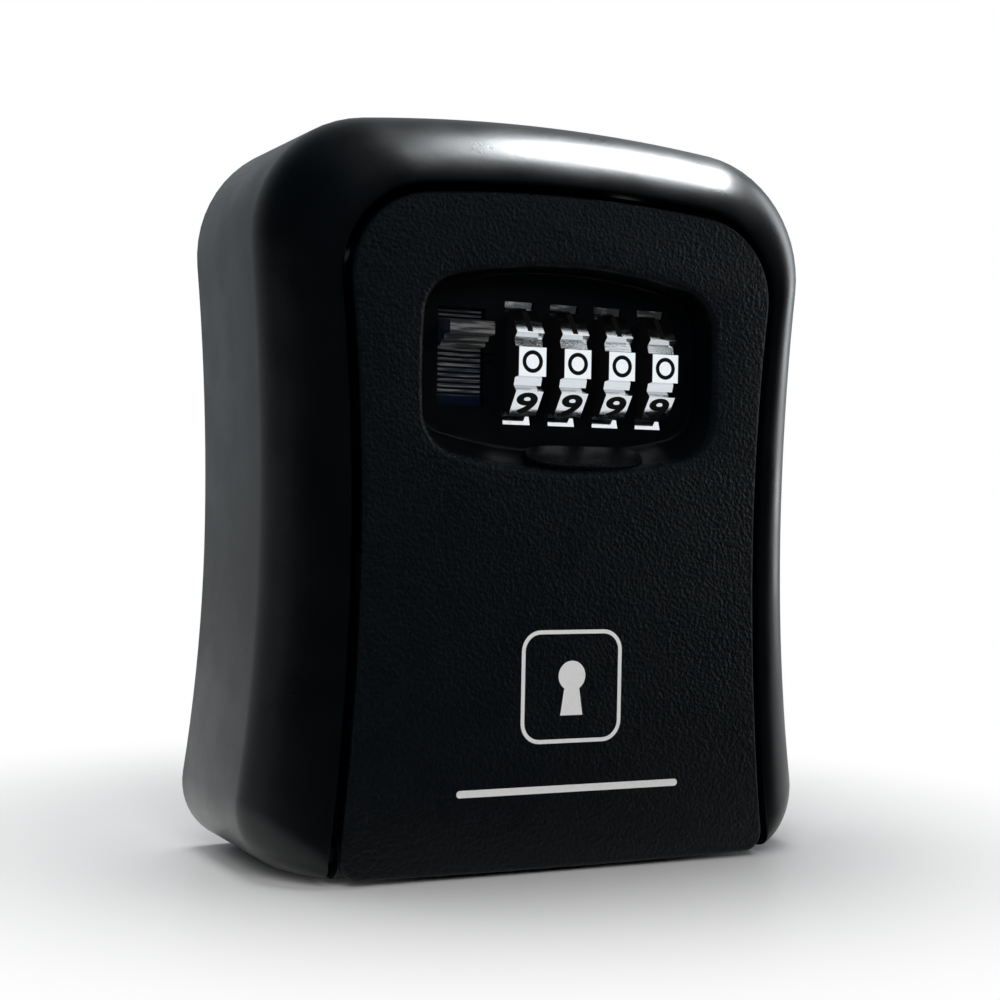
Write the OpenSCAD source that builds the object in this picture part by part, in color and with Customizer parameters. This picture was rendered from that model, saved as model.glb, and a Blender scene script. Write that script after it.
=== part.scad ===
/* [Body] */
// Overall height of the body
body_h = 115; // [114:1:124]
// Half of the body's width at its waist
waist_half_w = 45.2; // [44.8:0.2:48]
// Depth from the wall face to the front edge of the frame
body_d = 39.5; // [39:0.5:42]
// Thickness of the cast walls
wall = 3; // [2.6:0.2:3.4]
// Radius of the two upper corners, seen from the front
top_corner_r = 19; // [16:1:21]
// Radius of the two lower corners, seen from the front
bottom_corner_r = 10; // [8:1:12]

/* [Wall fixing] */
// Distance between the two columns of wall screw holes
wall_hole_dx = 60; // [50:2:66]
// Distance between the two rows of wall screw holes
wall_hole_dz = 80; // [70:2:84]
// Radius of each wall screw hole
wall_hole_r = 2.75; // [2:0.25:3]

/* [Door] */
// Gap between the door and the frame all round
door_gap = 1.3; // [1:0.1:1.6]
// How far the door stands proud of the frame's front edge
door_proud = 0.5; // [0:0.1:0.8]
// Thickness of the door's face
door_t = 2.6; // [2.2:0.1:2.8]
// Radius of each hinge pin
hinge_pin_r = 1.5; // [1.2:0.1:1.8]

/* [Dials] */
// Radius from the axle to the flat lands that carry the numerals
wheel_r = 10.6; // [10.3:0.1:10.7]
// Width of each wheel
wheel_w = 4.6; // [4.4:0.1:4.7]
// Distance from one wheel to the next
wheel_pitch = 7.75; // [7.7:0.05:7.8]
// How far the shaft moves sideways to set a new code
reset_travel = 1.9; // [1.7:0.1:2]

/* [Opening slider] */
// How far the opening slider moves down
slider_travel = 5; // [4.6:0.2:5]
// Width of the slider's window
slider_window_w = 7.8; // [7.2:0.2:8]

/* [Hidden] */
$fn = 64;

half_h = body_h / 2;
waist_z = -6;
foot_gap = 0.4;
// the frame slopes in by this much at its sides and at its top
frame_side = 10.3;
frame_top = 11.25;
shoulder_y = -27.8;

// door opening: half width at its waist, height of its top edge, corner radius
open_half_w = waist_half_w - frame_side;
open_top = half_h - frame_top;
open_waist_z = -8;
open_corner_r = 14;

// planes of the door, front to back
door_y = -(body_d + door_proud);
door_back = door_y + door_t;
skirt_y = door_y + 3.8;
lip_back = door_y + 3.7;
recess_depth = 5.8;
floor_y = door_y + recess_depth;
floor_t = 2;
floor_back = floor_y + floor_t;
slide_gap = 0.2;
latch_front = floor_back + slide_gap;
latch_back = latch_front + 1.4;
cover_front = latch_back + 1;
cover_back = door_y + 29;
cover_wall = 1.2;
cover_inside = cover_back - cover_wall;

// hinge axis, near the lower front edge
hinge_y = door_y + 4.2;
hinge_z = 4.2 - half_h;
knuckle_r = 3.6;
knuckle_x0 = 24;
knuckle_x1 = 36.2;
knuckle_neck = 2.6;
boss_x0 = 37.9;
boss_w = 9;
boss_back = hinge_y + 4.6;
pin_end_x = 41;

// seats inside the back wall around the wall screws
seat_r = 6;
seat_h = 0.5;

// key hook on the inside of the back wall
hook_z = -9;
hook_screw_x = 5.5;
hook_screw_r = 1.1;
hook_plate_t = 1.6;
hook_plate_half_w = 9;
hook_plate_half_h = 4.5;
hook_rise = 5;

// dial axle and the four wheels
axle_y = door_y + 11.6;
axle_z = 19.65;
first_wheel_x = -6.2;
wheel_x = [for (i = [0 : 3]) first_wheel_x + i * wheel_pitch];
positions = 10;
land_half = 2.2;
wheel_clear_r = norm([wheel_r, land_half]) + 0.25;
wheel_window_w = wheel_w + 0.5;
wheel_window_h = 18.5;
valley_r = wheel_r - 1;
shaft_r = 2;
run_gap = 0.05;
hub_r = 3.9;
collar_r = 4.4;
collar_x0 = -3.6;
collar_x1 = -2.5;
hub_x1 = 2;
spline_r = 0.6;
spline_centre_r = 4.05;
cup_r = 4.75;

// fence bar: its fingers enter the rings' gates from behind
fence_travel = slider_travel * 0.4;
finger_gap = 0.35;
finger_w = 0.9;
finger_x = -3.5;
fence_y0 = axle_y + 13.2;
fence_y1 = fence_y0 + 1.6;
fence_pin_y = (fence_y0 + fence_y1) / 2;
fence_pin_r = 1;

// recess in the door's face
recess_x = 0.5;
recess_z = 18.55;
recess_half_w = 25.5;
recess_half_h = 16.15;
recess_corner_r = 7;
recess_end_r = 150;

// slider window and the plate behind it
slider_x = -15.9;
slider_window_z = [12.8, 27.7];
slider_pocket_y = floor_back - 1;
slider_plate_half = 4.25;
slider_plate_z = [slider_window_z[0] - 6.3, slider_window_z[1] + 5.9];

// latch plate: its stem, its bolt, and the cam that drives the fence bar
latch_x = [-19.6, -13];
latch_foot_z = 12;
latch_cross_z = axle_z + 16.85;
bolt_half_w = 8;
bolt_top = open_top + 3.25;
bolt_z0 = open_top - 4.05;
bolt_gap = 0.5;
cam_x = [-16.6, -14.8];
cam_z = [16, 28.5];
peg_r = 1.4;
peg_z = [14, 30.8];

// latch spring
spring_x = -18.9;
spring_y = axle_y + 2.4;
spring_z = [10, 24];
spring_peg_r = 0.9;

// inner cover
cover_x = 28.8;
cover_z = [1.2, 39.6];
post_x = 24.9;
post_z = [5.2, 35.5];
post_r = 2.4;
screw_r = 1.2;

// shaft stations
left_rib_x = [-11.5, -10.4];
right_rib_x = [22.9, 24.1];
shaft_x = [-13.6, 25.4];
clip_x = [wheel_x[0] - 4.1, wheel_x[3] + 2.1];
clip_t = 0.4;
reset_arm_x = [24.2, 25.4];
spacer_r = 2.6;
clip_r = 2.65;

// detent spring strip and its rivets
strip_z = [cover_z[0] + cover_wall + 0.02, cover_z[0] + cover_wall + 0.42];
strip_y = [axle_y + 7, axle_y + 14];
rivet_x = [-2.3, 13.2];
rivet_r = 1;
rivet_y = (strip_y[0] + strip_y[1]) / 2;

// ---------- outline and skin helpers ----------

// straight steps that stand for each side arc, corner arc and end arc of a quarter outline
side_steps = 4;
corner_steps = 6;
end_steps = 4;

function on_circle(c, r, a) = [c[0] + r * cos(a), c[1] + r * sin(a)];

// Centre of the corner arc that touches the side arc and the end arc. side_r is positive for a
// side that curves in towards its waist, and negative for one that bulges.
function corner_centre(side_c, side_r, end_c, end_r, r) =
    let (dx = side_c[0] - end_c[0], dz = side_c[1] - end_c[1])
    let (d = norm([dx, dz]), ra = end_r - r, rb = side_r + r)
    let (a = (ra * ra - rb * rb + d * d) / (2 * d), h = sign(side_r) * sqrt(ra * ra - a * a))
    [end_c[0] + (a * dx - h * dz) / d, end_c[1] + (a * dz + h * dx) / d];

// Quarter outline from the waist up to the middle of the end edge.
function quarter(half_w, mid_z, side_r, end_z, end_r, corner_r) =
    let (side_c = [half_w + side_r, mid_z], end_c = [0, end_z - end_r])
    let (c = corner_centre(side_c, side_r, end_c, end_r, corner_r), s = sign(side_r))
    let (a0 = atan2(s * (side_c[1] - c[1]), s * (side_c[0] - c[0])))
    let (a1 = atan2(c[1] - end_c[1], c[0] - end_c[0]))
    concat(
        [for (i = [0 : side_steps - 1]) on_circle(side_c, -side_r, a0 * i / side_steps)],
        [for (i = [0 : corner_steps - 1]) on_circle(c, corner_r, a0 + (a1 - a0) * i / corner_steps)],
        [for (i = [0 : end_steps]) on_circle(end_c, end_r, a1 + (90 - a1) * i / end_steps)]);

function flip(points, x, z) = [for (p = points) [p[0] * x, p[1] * z]];
function reversed(points) = [for (i = [len(points) - 1 : -1 : 0]) points[i]];
function without_last(points) = [for (i = [0 : len(points) - 2]) points[i]];

// Whole outline: top = [end_z, end_r, corner_r, side_r], bottom the same with end_z below.
function outline(half_w, mid_z, top, bottom) =
    let (up = quarter(half_w, mid_z, top[3], top[0], top[1], top[2]))
    let (low = quarter(half_w, -mid_z, bottom[3], bottom[0], bottom[1], bottom[2]))
    concat(
        without_last(up),
        without_last(reversed(flip(up, -1, 1))),
        without_last(flip(low, -1, -1)),
        without_last(reversed(flip(low, 1, -1))));

function mix(a, b, t) = [for (i = [0 : len(a) - 1]) a[i] * (1 - t) + b[i] * t];

// Cubic curve through four control values.
function bezier(p, t) =
    p[0] * pow(1 - t, 3) + 3 * p[1] * pow(1 - t, 2) * t + 3 * p[2] * (1 - t) * t * t
    + p[3] * pow(t, 3);

body_outer = outline(waist_half_w, waist_z,
    [half_h, 278, top_corner_r, 417], [half_h, 1800, bottom_corner_r, 278]);
body_inner = outline(open_half_w, open_waist_z,
    [open_top, 227, open_corner_r, 345], [half_h - 0.5, 2000, 4, 417]);

function opening_outline(inset, bottom_z, bottom_r) = outline(open_half_w - inset, open_waist_z,
    [open_top - inset, 227 - inset, open_corner_r - inset, 345 + inset],
    [bottom_z, 2000, bottom_r, 417 + inset]);

function door_outline(inset) = opening_outline(door_gap + inset, half_h - foot_gap - inset, 3 - inset);

function sum(list) = list * [for (v = list) 1];
function middle(points) = [sum([for (p = points) p[0]]), sum([for (p = points) p[1]])] / len(points);

// Solid through a stack of outlines, each given as [y, points], from the back to the front. Each
// end is closed by triangles that meet at its middle.
module skin(stack) {
    n = len(stack[0][1]);
    last = len(stack) - 1;
    ends = [for (ring = [stack[0], stack[last]]) let (m = middle(ring[1])) [m[0], ring[0], m[1]]];
    points = concat([for (ring = stack) for (p = ring[1]) [p[0], ring[0], p[1]]], ends);
    back_middle = (last + 1) * n;
    front_middle = back_middle + 1;
    faces = [for (i = [0 : n - 1]) let (j = (i + 1) % n)
        for (t = concat(
            [[i, j, back_middle], [last * n + j, last * n + i, front_middle]],
            [for (k = [0 : last - 1]) [k * n + j, k * n + i, (k + 1) * n + j]],
            [for (k = [0 : last - 1]) [(k + 1) * n + j, k * n + i, (k + 1) * n + i]])) t];
    polyhedron(points, faces);
}

// ---------- simple solids ----------

module block(x, y, z) {
    translate([x[0], y[0], z[0]])
        cube([x[1] - x[0], y[1] - y[0], z[1] - z[0]]);
}

module x_rod(r, x, y, z) {
    translate([x[0], y, z])
        rotate([0, 90, 0])
            cylinder(r = r, h = x[1] - x[0]);
}

module y_rod(r, y, x, z) {
    translate([x, y[1], z])
        rotate([90, 0, 0])
            cylinder(r = r, h = y[1] - y[0]);
}

module z_rod(r, z, x, y) {
    translate([x, y, z[0]])
        cylinder(r = r, h = z[1] - z[0]);
}

// Block with its four edges along Y rounded.
module round_block(x, y, z, r) {
    block([x[0] + r, x[1] - r], y, z);
    block(x, y, [z[0] + r, z[1] - r]);
    for (px = [x[0] + r, x[1] - r], pz = [z[0] + r, z[1] - r])
        y_rod(r, y, px, pz);
}

module xz_prism(y, points) {
    translate([0, y[1], 0])
        rotate([90, 0, 0])
            linear_extrude(y[1] - y[0])
                polygon(points);
}

module yz_prism(x, points) {
    translate([x[0], 0, 0])
        rotate([90, 0, 90])
            linear_extrude(x[1] - x[0])
                polygon(points);
}

// Wire coil that rises along Z from 0 to length.
module coil(turns, mean_r, wire_r, length) {
    steps = round(turns * 14);
    sides = 6;
    points = [for (i = [0 : steps], j = [0 : sides - 1])
        let (a = 360 * turns * i / steps, b = 360 * j / sides, r = mean_r + wire_r * cos(b))
            [r * cos(a), r * sin(a), wire_r + (length - 2 * wire_r) * i / steps + wire_r * sin(b)]];
    walls = [for (i = [0 : steps - 1], j = [0 : sides - 1])
        let (a = i * sides + j, b = i * sides + (j + 1) % sides)
            for (t = [[a, b, b + sides], [a, b + sides, a + sides]]) t];
    first = [[for (j = [sides - 1 : -1 : 0]) j]];
    last = [[for (j = [0 : sides - 1]) steps * sides + j]];
    polyhedron(points, concat(walls, first, last));
}

// ---------- body ----------

module body_outer_skin() {
    inset_curve = [0, 0, 0.6, 1];
    depth_curve = [shoulder_y, shoulder_y - 4.5, -body_d, -body_d];
    skin(concat(
        [[0, mix(body_outer, body_inner, 0.05)], [-0.6, body_outer]],
        [for (i = [0 : 6]) let (t = i / 6)
            [bezier(depth_curve, t), mix(body_outer, body_inner, bezier(inset_curve, t))]]));
}

module cavity_skin() {
    wall_share = wall / frame_side;
    skin([
        [-wall, mix(body_outer, body_inner, wall_share)],
        [shoulder_y - 0.7, mix(body_outer, body_inner, wall_share)],
        [lip_back, mix(body_outer, body_inner, 0.93)]]);
}

module hinge_bosses() {
    for (x = [[boss_x0, boss_x0 + boss_w], [-boss_x0 - boss_w, -boss_x0]])
        block(x, [door_y, boss_back], [-half_h - 1, hinge_z + knuckle_r]);
}

module at_wall_holes() {
    for (x = [-wall_hole_dx / 2, wall_hole_dx / 2], z = [-wall_hole_dz / 2, wall_hole_dz / 2])
        translate([x, 0, z])
            children();
}

// Slot between the frame's feet, as wide as the opening, in which the door's knuckles turn.
module foot_slot() {
    top = hinge_z + knuckle_r;
    y = [door_y - 1, hinge_y + knuckle_r + 2.6];
    intersection() {
        xz_prism(y, opening_outline(0, half_h + 8, 4));
        block([-waist_half_w, waist_half_w], y, [-half_h - 10, top]);
    }
}

// Pocket behind the frame's top bar that the latch bolt rises into.
module strike_pocket() {
    half_w = bolt_half_w + bolt_gap;
    block([-half_w, half_w], [lip_back, shoulder_y], [bolt_z0, bolt_top + bolt_gap]);
}

module body_shell() {
    color([0.07, 0.075, 0.08])
        difference() {
            body_outer_skin();
            difference() {
                cavity_skin();
                hinge_bosses();
                at_wall_holes()
                    y_rod(seat_r, [-wall - seat_h, -wall + 0.5], 0, 0);
            }
            strike_pocket();
            xz_prism([door_y - 1, lip_back + 0.5], opening_outline(0, half_h + 8, 4));
            foot_slot();
            at_wall_holes()
                y_rod(wall_hole_r, [-wall - 2, 1], 0, 0);
            for (x = [[boss_x0 - 1, pin_end_x], [-pin_end_x, 1 - boss_x0]])
                x_rod(hinge_pin_r, x, hinge_y, hinge_z);
            for (x = [-hook_screw_x, hook_screw_x])
                y_rod(hook_screw_r, [-wall - 2, -0.8], x, hook_z);
        }
}

module key_hook() {
    rod_r = 1.6;
    reach_y = -17;
    plate_y = [-wall - hook_plate_t, -wall];
    color([0.72, 0.73, 0.74])
        difference() {
            union() {
                round_block([-hook_plate_half_w, hook_plate_half_w], plate_y,
                    [hook_z - hook_plate_half_h, hook_z + hook_plate_half_h], 3);
                y_rod(rod_r, [reach_y, plate_y[0]], 0, hook_z);
                translate([0, reach_y, hook_z])
                    sphere(r = rod_r);
                z_rod(rod_r, [hook_z, hook_z + hook_rise], 0, reach_y);
                translate([0, reach_y, hook_z + hook_rise])
                    sphere(r = rod_r);
            }
            for (x = [-hook_screw_x, hook_screw_x])
                y_rod(hook_screw_r + 0.1, [plate_y[0] - 1, plate_y[1] + 1], x, hook_z);
        }
}

module hook_screws() {
    head_y = -wall - hook_plate_t;
    head_r = 2;
    head_t = 1.3;
    slot_half_w = 0.3;
    slot_depth = 0.6;
    color([0.6, 0.61, 0.62])
        for (x = [-hook_screw_x, hook_screw_x])
            difference() {
                union() {
                    y_rod(hook_screw_r - 0.01, [head_y - 0.2, -1], x, hook_z);
                    y_rod(head_r, [head_y - head_t, head_y], x, hook_z);
                }
                block([x - head_r + 0.5, x + head_r - 0.5],
                    [head_y - head_t - 1, head_y - head_t + slot_depth],
                    [hook_z - slot_half_w, hook_z + slot_half_w]);
            }
}

module hinge_pins() {
    color([0.12, 0.12, 0.13])
        for (x = [[knuckle_x0 - 1, pin_end_x], [-pin_end_x, 1 - knuckle_x0]])
            x_rod(hinge_pin_r, x, hinge_y, hinge_z);
}

// ---------- door ----------

// Recess outline, drawn in by separate amounts at its sides, its top and its bottom.
function recess_outline(side, top, bottom) =
    let (half_w = recess_half_w - side, corner = recess_corner_r - side)
    let (p = outline(half_w, 0, [recess_half_h - top, 86, corner, -recess_end_r],
        [recess_half_h - bottom, 83, corner, -recess_end_r]))
    [for (q = p) [q[0] + recess_x, q[1] + recess_z]];

// Steep walls all round, and a ramp for the fingertip below.
module recess_cut() {
    skin([
        [floor_y, recess_outline(1.3, 0.9, 3.6)],
        [door_y + 0.8, recess_outline(0.5, 0.4, 0.7)],
        [door_y - 1, recess_outline(0, 0, 0)]]);
}

module door_windows() {
    for (x = wheel_x) {
        side = [x - wheel_window_w / 2, x + wheel_window_w / 2];
        half = wheel_window_h / 2;
        block(side, [floor_y - 1, floor_back + 1], [axle_z - half, axle_z + half]);
        x_rod(wheel_clear_r, side, axle_y, axle_z);
    }
    block([slider_x - slider_window_w / 2, slider_x + slider_window_w / 2],
        [floor_y - 1, floor_back + 1], slider_window_z);
}

module door_posts() {
    for (x = [-post_x, post_x], z = post_z)
        y_rod(post_r, [door_back - 0.5, cover_inside], x, z);
}

module door_panel() {
    skirt_t = 1.8;
    tub_half_w = recess_half_w + 2.1;
    tub_half_h = recess_half_h + 2.05;
    rib_y = [floor_back - 0.5, axle_y + 4];
    rib_half_h = 3.6;
    color([0.09, 0.095, 0.1])
        difference() {
            union() {
                skin([
                    [door_back, door_outline(0)],
                    [door_y + 0.5, door_outline(0)],
                    [door_y + 0.15, door_outline(0.15)],
                    [door_y, door_outline(0.5)]]);
                difference() {
                    xz_prism([door_back - 0.5, skirt_y], door_outline(0.3));
                    xz_prism([door_back, skirt_y + 1], door_outline(skirt_t));
                }
                round_block([recess_x - tub_half_w, recess_x + tub_half_w], [door_back - 0.5, floor_back],
                    [recess_z - tub_half_h, recess_z + tub_half_h], 8);
                door_posts();
                for (x = [left_rib_x, right_rib_x])
                    block(x, rib_y, [axle_z - rib_half_h, axle_z + rib_half_h]);
                for (x = [[knuckle_x0, knuckle_x1], [-knuckle_x1, -knuckle_x0]]) {
                    x_rod(knuckle_r, x, hinge_y, hinge_z);
                    block(x, [door_back - 0.5, hinge_y], [hinge_z - knuckle_neck, hinge_z + knuckle_neck]);
                }
            }
            recess_cut();
            door_windows();
            // channel for the plate of the opening slider
            block([slider_x - slider_plate_half - 0.1, slider_x + slider_plate_half + 0.1],
                [slider_pocket_y, floor_back + 3],
                [slider_plate_z[0] - slider_travel - 0.3, slider_plate_z[1] + 0.3]);
            // room for the rings' collars behind the floor
            x_rod(collar_r + 0.3, [left_rib_x[1], right_rib_x[0]], axle_y, axle_z);
            x_rod(shaft_r + run_gap, [left_rib_x[0] - 1, right_rib_x[1] + 1], axle_y, axle_z);
            for (x = [-post_x, post_x], z = post_z)
                y_rod(screw_r, [cover_inside - 9, cover_inside + 1], x, z);
            for (x = [[knuckle_x0 - 1, boss_x0], [-boss_x0, 1 - knuckle_x0]])
                x_rod(hinge_pin_r + 0.06, x, hinge_y, hinge_z);
        }
}

// ---------- latch, slider and fence ----------

module cam_slot() {
    // the pin travels along this slot as the latch comes down and drives the fence forward
    start = [fence_pin_y, axle_z];
    finish = [fence_pin_y - fence_travel, axle_z + slider_travel];
    x = [cam_x[0] - 1, cam_x[1] + 1];
    r = fence_pin_r + 0.06;
    length = norm(finish - start);
    side = [slider_travel, fence_travel] * r / length;
    x_rod(r, x, start[0], start[1]);
    x_rod(r, x, finish[0], finish[1]);
    yz_prism(x, [start + side, finish + side, finish - side, start - side]);
}

module latch_plate() {
    y = [latch_front, latch_back];
    color([0.12, 0.12, 0.13])
        difference() {
            union() {
                block(latch_x, y, [latch_foot_z, latch_cross_z + 1]);
                block([latch_x[0], bolt_half_w], y, [latch_cross_z, bolt_z0 + 2]);
                block([-bolt_half_w, bolt_half_w], [lip_back + 0.3, latch_back], [bolt_z0, bolt_top]);
                block(cam_x, [latch_back - 0.5, cover_inside - 0.3], cam_z);
                block([spring_x - 2, cam_x[0] + 0.5], [spring_y - 2, spring_y + 2],
                    [spring_z[1], spring_z[1] + 1.5]);
            }
            cam_slot();
            for (z = peg_z)
                y_rod(peg_r + 0.05, [latch_front - 1, latch_back + 1], slider_x, z);
        }
}

module latch_spring() {
    color([0.66, 0.67, 0.68])
        translate([spring_x, spring_y, spring_z[0]])
            coil(7, 1.5, 0.25, spring_z[1] - spring_z[0]);
}

module open_slider() {
    half_w = slider_window_w / 2 - 0.2;
    plate_y = [slider_pocket_y + 0.05, latch_front];
    ridge_z = [slider_window_z[1] - 4.4, slider_window_z[1] - 2.3];
    ridge_y = floor_y - 4;
    color([0.1, 0.12, 0.15]) {
        block([slider_x - slider_plate_half, slider_x + slider_plate_half], plate_y, slider_plate_z);
        // finger ridge with rounded lips, and two steps below it down to the plate
        yz_prism([slider_x - half_w, slider_x + half_w], [
            [plate_y[1], ridge_z[1] + 0.3], [plate_y[0], ridge_z[1] + 0.3], [ridge_y + 0.4, ridge_z[1]],
            [ridge_y, ridge_z[1] - 0.4], [ridge_y, ridge_z[0] + 0.4], [ridge_y + 0.4, ridge_z[0]],
            [ridge_y + 2.2, ridge_z[0]], [ridge_y + 2.4, ridge_z[0] - 0.8],
            [ridge_y + 3.6, ridge_z[0] - 0.8], [ridge_y + 3.8, ridge_z[0] - 1.6],
            [plate_y[0], ridge_z[0] - 1.8], [plate_y[1], ridge_z[0] - 1.8]]);
        for (z = peg_z)
            y_rod(peg_r, [latch_front - 0.3, latch_back], slider_x, z);
    }
}

module fence_bar() {
    bar_z = [axle_z - 2.25, axle_z + 2.25];
    tip_y = axle_y + collar_r + finger_gap;
    left_x = left_rib_x[0];
    color([0.68, 0.69, 0.7]) {
        block([left_x, wheel_x[3] - 1.5], [fence_y0, fence_y1], bar_z);
        for (x = wheel_x)
            block([x + finger_x, x + finger_x + finger_w], [tip_y, fence_y0 + 0.3],
                [axle_z - 0.8, axle_z + 0.8]);
        x_rod(fence_pin_r, [cam_x[0] - 0.6, left_x + 0.5], fence_pin_y, axle_z);
    }
}

// ---------- dials ----------

// Ten flat lands with a shallow valley between each two; the first land faces forward.
module wheel_profile() {
    step = 360 / positions;
    floor_half_angle = step * 0.1;
    polygon([for (k = [0 : positions - 1]) let (a = 180 + k * step)
        for (p = [[wheel_r, -land_half], [wheel_r, land_half],
                  valley_r * [cos(step / 2 - floor_half_angle), sin(step / 2 - floor_half_angle)],
                  valley_r * [cos(step / 2 + floor_half_angle), sin(step / 2 + floor_half_angle)]])
            [p[0] * cos(a) - p[1] * sin(a), p[0] * sin(a) + p[1] * cos(a)]]);
}

module dial_wheel(i) {
    x = wheel_x[i];
    half = wheel_w / 2;
    web = [-0.3, 1];
    color([0.8, 0.81, 0.82])
        difference() {
            translate([x - half, axle_y, axle_z])
                rotate([90, 0, 90])
                    linear_extrude(wheel_w)
                        wheel_profile();
            x_rod(hub_r + 0.07, [x - half - 1, x + half + 1], axle_y, axle_z);
            x_rod(cup_r, [x - half - 1, x + web[0]], axle_y, axle_z);
            x_rod(cup_r, [x + web[1], x + half + 1], axle_y, axle_z);
            for (k = [0 : positions - 1]) let (a = k * 360 / positions)
                x_rod(spline_r + 0.1, [x - half - 1, x + half + 1],
                    axle_y + spline_centre_r * cos(a), axle_z + spline_centre_r * sin(a));
        }
}

module gate_ring(i) {
    x = wheel_x[i];
    gate_depth_r = 2.55;
    color([0.78, 0.66, 0.35])
        difference() {
            union() {
                x_rod(collar_r, [x + collar_x0, x + collar_x1], axle_y, axle_z);
                x_rod(hub_r, [x + collar_x1 - 0.1, x + hub_x1], axle_y, axle_z);
                for (k = [0 : positions / 2 - 1]) let (a = k * 720 / positions)
                    x_rod(spline_r, [x - 0.2, x + 0.9],
                        axle_y + spline_centre_r * cos(a), axle_z + spline_centre_r * sin(a));
            }
            x_rod(shaft_r + run_gap, [x - 5, x + 5], axle_y, axle_z);
            // the gate, which faces the fence when the wheel shows its code number
            block([x + collar_x0 - 1, x + collar_x1], [axle_y + gate_depth_r, axle_y + 6],
                [axle_z - 1, axle_z + 1]);
        }
}

module dial_wheel_1() dial_wheel(0);
module dial_wheel_2() dial_wheel(1);
module dial_wheel_3() dial_wheel(2);
module dial_wheel_4() dial_wheel(3);
module gate_ring_1() gate_ring(0);
module gate_ring_2() gate_ring(1);
module gate_ring_3() gate_ring(2);
module gate_ring_4() gate_ring(3);

module dial_shaft() {
    color([0.66, 0.67, 0.68])
        difference() {
            x_rod(shaft_r, shaft_x, axle_y, axle_z);
            for (x = clip_x)
                difference() {
                    x_rod(shaft_r + 1, [x - 0.02, x + clip_t + 0.02], axle_y, axle_z);
                    x_rod(shaft_r - 0.4, [x - 0.1, x + clip_t + 0.1], axle_y, axle_z);
                }
        }
}

module ring_spacers() {
    color([0.75, 0.76, 0.77])
        for (i = [0 : 2])
            difference() {
                x_rod(spacer_r, [wheel_x[i] + hub_x1 + 0.05, wheel_x[i + 1] + collar_x0 - 0.05],
                    axle_y, axle_z);
                x_rod(shaft_r + run_gap, [wheel_x[i], wheel_x[i + 1]], axle_y, axle_z);
            }
}

module shaft_clips() {
    color([0.45, 0.46, 0.47])
        for (x = clip_x)
            difference() {
                x_rod(clip_r, [x, x + clip_t], axle_y, axle_z);
                x_rod(shaft_r - 0.38, [x - 1, x + 1], axle_y, axle_z);
                // mouth through which the clip snaps on
                block([x - 1, x + 1], [axle_y - 1.1, axle_y + 1.1], [axle_z - 4, axle_z]);
            }
}

module shaft_spring() {
    x0 = clip_x[1] + clip_t + 0.05;
    color([0.66, 0.67, 0.68])
        translate([x0, axle_y, axle_z])
            rotate([0, 90, 0])
                coil(3, 2.42, 0.18, right_rib_x[0] - x0 - 0.05);
}

module reset_tab() {
    z = [axle_z - 2.05, axle_z + 2.05];
    color([0.85, 0.85, 0.83])
        difference() {
            union() {
                block(reset_arm_x, [axle_y - 3, cover_back + 0.2], z);
                round_block([reset_arm_x[0] - 0.8, reset_arm_x[1] + 1.4],
                    [cover_back + 0.1, cover_back + 1.8], [z[0] - 1.5, z[1] + 1.5], 1.2);
            }
            x_rod(shaft_r + 0.01, [reset_arm_x[0] - 1, reset_arm_x[1] + 1], axle_y, axle_z);
        }
}

// ---------- inner cover ----------

module detent_spring() {
    tip_z = axle_z - valley_r - 0.8;
    bump_r = 0.75;
    z = strip_z[0];
    t = strip_z[1] - strip_z[0];
    color([0.6, 0.61, 0.6])
        difference() {
            union() {
                block([wheel_x[0] - 2, wheel_x[3] + 2], strip_y, strip_z);
                for (x = wheel_x) {
                    yz_prism([x - 1.8, x + 1.8], [
                        [strip_y[0] + 0.5, z], [axle_y + 2.4, z + 1.5], [axle_y - 0.3, tip_z - 0.4],
                        [axle_y + 0.3, tip_z], [axle_y + 2.8, z + 1.5 + t], [strip_y[0] + 0.5, z + t]]);
                    x_rod(bump_r, [x - 1.8, x + 1.8], axle_y, tip_z);
                }
            }
            for (x = rivet_x)
                z_rod(rivet_r + 0.05, [0, strip_z[1] + 1], x, rivet_y);
        }
}

module detent_rivets() {
    color([0.6, 0.6, 0.6])
        for (x = rivet_x) {
            z_rod(rivet_r, [cover_z[0] + 0.1, strip_z[1] + 0.1], x, rivet_y);
            z_rod(rivet_r + 0.9, [strip_z[1], strip_z[1] + 0.8], x, rivet_y);
        }
}

module inner_cover() {
    inner_x = cover_x - cover_wall;
    color([0.16, 0.17, 0.18])
        difference() {
            union() {
                difference() {
                    round_block([-cover_x, cover_x], [cover_front, cover_back], cover_z, 4.5);
                    round_block([-inner_x, inner_x], [cover_front - 1, cover_inside],
                        [cover_z[0] + cover_wall, cover_z[1] - cover_wall], 3.3);
                }
                // channel that guides the fence bar
                for (z = [[axle_z - 3.6, axle_z - 2.35], [axle_z + 2.35, axle_z + 3.6]])
                    block([-10.5, wheel_x[3] - 1], [cover_inside - 4.4, cover_inside + 0.1], z);
                // shelf and peg under the latch spring
                block([-inner_x - 0.2, spring_x + 2], [spring_y - 2, spring_y + 2],
                    [spring_z[0] - 1.5, spring_z[0]]);
                z_rod(spring_peg_r, [spring_z[0] - 0.2, spring_z[0] + 5], spring_x, spring_y);
            }
            for (x = [-post_x, post_x], z = post_z)
                y_rod(screw_r + 0.15, [cover_inside - 1, cover_back + 1], x, z);
            block([reset_arm_x[0] - 0.2, reset_arm_x[1] + reset_travel + 0.2],
                [cover_inside - 1, cover_back + 1], [axle_z - 2.3, axle_z + 2.3]);
            for (x = rivet_x)
                z_rod(rivet_r + 0.05, [0, cover_z[0] + cover_wall + 1], x, rivet_y);
        }
}

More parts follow.
